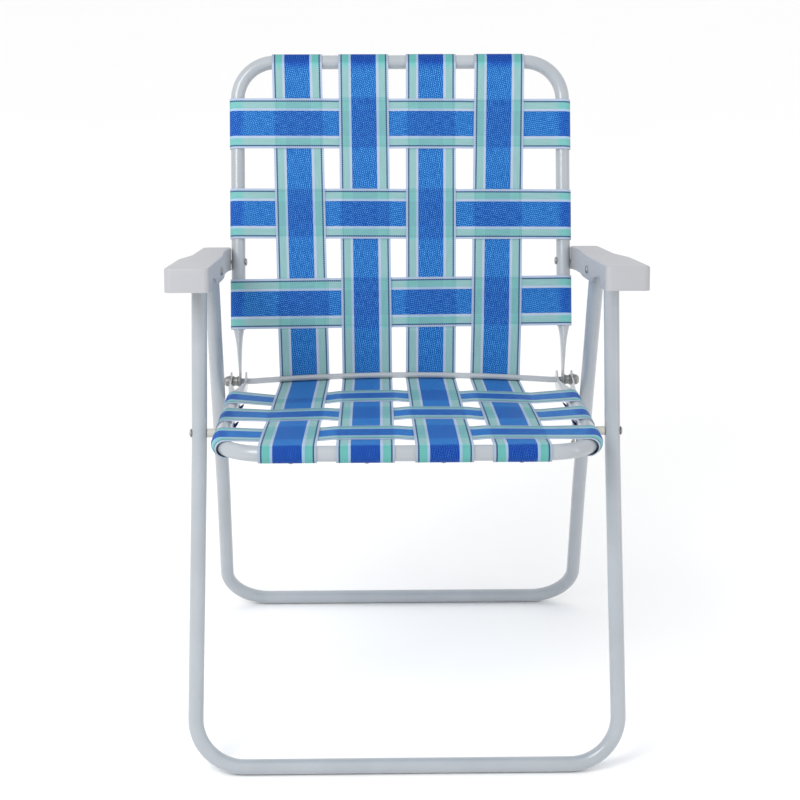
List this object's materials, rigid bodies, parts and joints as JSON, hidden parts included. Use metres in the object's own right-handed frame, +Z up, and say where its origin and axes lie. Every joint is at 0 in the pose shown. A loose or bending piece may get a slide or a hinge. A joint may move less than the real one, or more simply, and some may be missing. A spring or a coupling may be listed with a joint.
{
  "type": "folding webbed lawn chair",
  "caption": "Folding lawn chair with a bent white tube frame, moulded armrests and woven blue and mint webbing, shown open.",
  "frame": {"origin": "centre of the chair's bounding box in plan, on the floor", "axes": "X across the chair, +Y towards its back, +Z up"},
  "size_m": [0.5644, 0.5538, 0.8194],
  "materials": {
    "frame_paint": "gloss powder coat",
    "arm_plastic": "moulded, satin",
    "cream_plastic": "moulded",
    "zinc_steel": "zinc plated",
    "webbing_lengthwise": "woven, striped",
    "webbing_crosswise": "woven, striped"
  },
  "bodies": {
    "front_legs": {"front_leg_frame": "frame_paint", "seat_pivot_spacer_right": "cream_plastic", "seat_pivot_spacer_left": "cream_plastic", "seat_pivot_rivet_right": "zinc_steel", "seat_pivot_rivet_left": "zinc_steel", "arm_front_rivet_right": "zinc_steel", "arm_front_rivet_left": "zinc_steel"},
    "seat": {"seat_strap_s1": "webbing_crosswise", "seat_strap_s1_screw_1": "zinc_steel", "seat_strap_s1_screw_2": "zinc_steel", "seat_strap_s2": "webbing_crosswise", "seat_strap_s2_screw_1": "zinc_steel", "seat_strap_s2_screw_2": "zinc_steel", "seat_strap_s3": "webbing_crosswise", "seat_strap_s3_screw_1": "zinc_steel", "seat_strap_s3_screw_2": "zinc_steel", "seat_strap_v1": "webbing_lengthwise", "seat_strap_v1_screw_1": "zinc_steel", "seat_strap_v2": "webbing_lengthwise", "seat_strap_v2_screw_1": "zinc_steel", "seat_strap_v3": "webbing_lengthwise", "seat_strap_v3_screw_1": "zinc_steel", "seat_strap_v4": "webbing_lengthwise", "seat_strap_v4_screw_1": "zinc_steel", "seat_frame": "frame_paint", "cross_rod": "zinc_steel", "rod_cap_nut_right": "zinc_steel", "rod_cap_nut_left": "zinc_steel", "rod_spool_right": "cream_plastic", "rod_spool_left": "cream_plastic"},
    "back": {"back_strap_h1": "webbing_crosswise", "back_strap_h1_screw_1": "zinc_steel", "back_strap_h1_screw_2": "zinc_steel", "back_strap_h2": "webbing_crosswise", "back_strap_h2_screw_1": "zinc_steel", "back_strap_h2_screw_2": "zinc_steel", "back_strap_h3": "webbing_crosswise", "back_strap_h3_screw_1": "zinc_steel", "back_strap_h3_screw_2": "zinc_steel", "back_strap_v1": "webbing_lengthwise", "back_strap_v1_screw_1": "zinc_steel", "back_strap_v2": "webbing_lengthwise", "back_strap_v2_screw_1": "zinc_steel", "back_strap_v3": "webbing_lengthwise", "back_strap_v3_screw_1": "zinc_steel", "back_strap_v4": "webbing_lengthwise", "back_strap_v4_screw_1": "zinc_steel", "back_frame": "frame_paint", "arm_rear_rivet_right": "zinc_steel", "arm_rear_rivet_left": "zinc_steel"},
    "arms": {"armrest_right": "arm_plastic", "armrest_left": "arm_plastic", "rear_leg_rivet_right": "zinc_steel", "rear_leg_rivet_left": "zinc_steel"},
    "rear_legs": {"rear_leg_frame": "frame_paint"},
    "links": {"link_right": "zinc_steel", "link_left": "zinc_steel", "link_rivet_right": "zinc_steel", "link_rivet_left": "zinc_steel"}
  },
  "joints": [
    {"name": "seat_fold", "type": "hinge", "parent": "front_legs", "child": "seat", "pos_m": [0, -0.15732, 0.41595], "axis": [-1, 0, 0], "range_deg": [0, 76]},
    {"name": "arm_fold", "type": "hinge", "parent": "front_legs", "child": "arms", "pos_m": [0, -0.11458, 0.59399], "axis": [-1, 0, 0], "range_deg": [0, 76.22]},
    {"name": "back_fold", "type": "hinge", "parent": "seat", "child": "back", "pos_m": [0, 0.12334, 0.39228], "axis": [-1, 0, 0], "range_deg": [-87.09, 0]},
    {"name": "rear_leg_fold", "type": "hinge", "parent": "arms", "child": "rear_legs", "pos_m": [0, -0.04517, 0.59118], "axis": [-1, 0, 0], "range_deg": [-38.13, 0]},
    {"name": "link_fold", "type": "hinge", "parent": "seat", "child": "links", "pos_m": [0, 0.12334, 0.39228], "axis": [-1, 0, 0], "range_deg": [0, 54.38]}
  ],
  "couplings": [
    {"joint": "arm_fold", "follows": "seat_fold", "ratio": 1.0029},
    {"joint": "back_fold", "follows": "seat_fold", "ratio": -1.1459},
    {"joint": "rear_leg_fold", "follows": "seat_fold", "ratio": -0.5017},
    {"joint": "link_fold", "follows": "seat_fold", "ratio": 0.7155}
  ]
}
